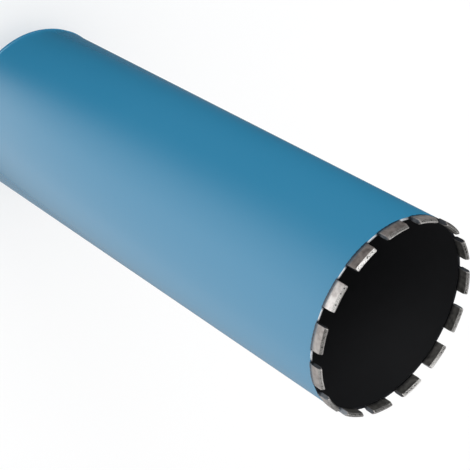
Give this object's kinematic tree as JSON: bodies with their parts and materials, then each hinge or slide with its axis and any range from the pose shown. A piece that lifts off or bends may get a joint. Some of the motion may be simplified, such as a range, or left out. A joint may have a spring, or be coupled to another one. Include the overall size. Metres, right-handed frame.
{
  "type": "diamond core bit",
  "caption": "Wet core bit: a thin painted steel barrel with diamond segments welded round one end, closed at the other by a plate and a threaded hub.",
  "frame": {"origin": "middle of the hub's end face, on which the bit stands", "axes": "+Z along the bit's axis, from the hub to the cutting faces; the first segment faces about -Y"},
  "size_m": [0.1819, 0.182, 0.569],
  "materials": {
    "barrel_paint": "satin light blue paint over thin steel",
    "machined_steel": "turned and milled bare steel",
    "weld_steel": "bare weld bead with faint heat tint",
    "diamond_segment": "sintered metal with fine diamond grit, ground bright on the cutting faces"
  },
  "bodies": {
    "root": {"barrel": "barrel_paint", "back_plate": "barrel_paint", "hub": "machined_steel", "barrel_weld": "barrel_paint", "hub_weld": "weld_steel", "segment_01": "diamond_segment", "segment_02": "diamond_segment", "segment_03": "diamond_segment", "segment_04": "diamond_segment", "segment_05": "diamond_segment", "segment_06": "diamond_segment", "segment_07": "diamond_segment", "segment_08": "diamond_segment", "segment_09": "diamond_segment", "segment_10": "diamond_segment", "segment_11": "diamond_segment", "segment_12": "diamond_segment", "segment_13": "diamond_segment", "segment_14": "diamond_segment", "segment_15": "diamond_segment"}
  },
  "joints": []
}
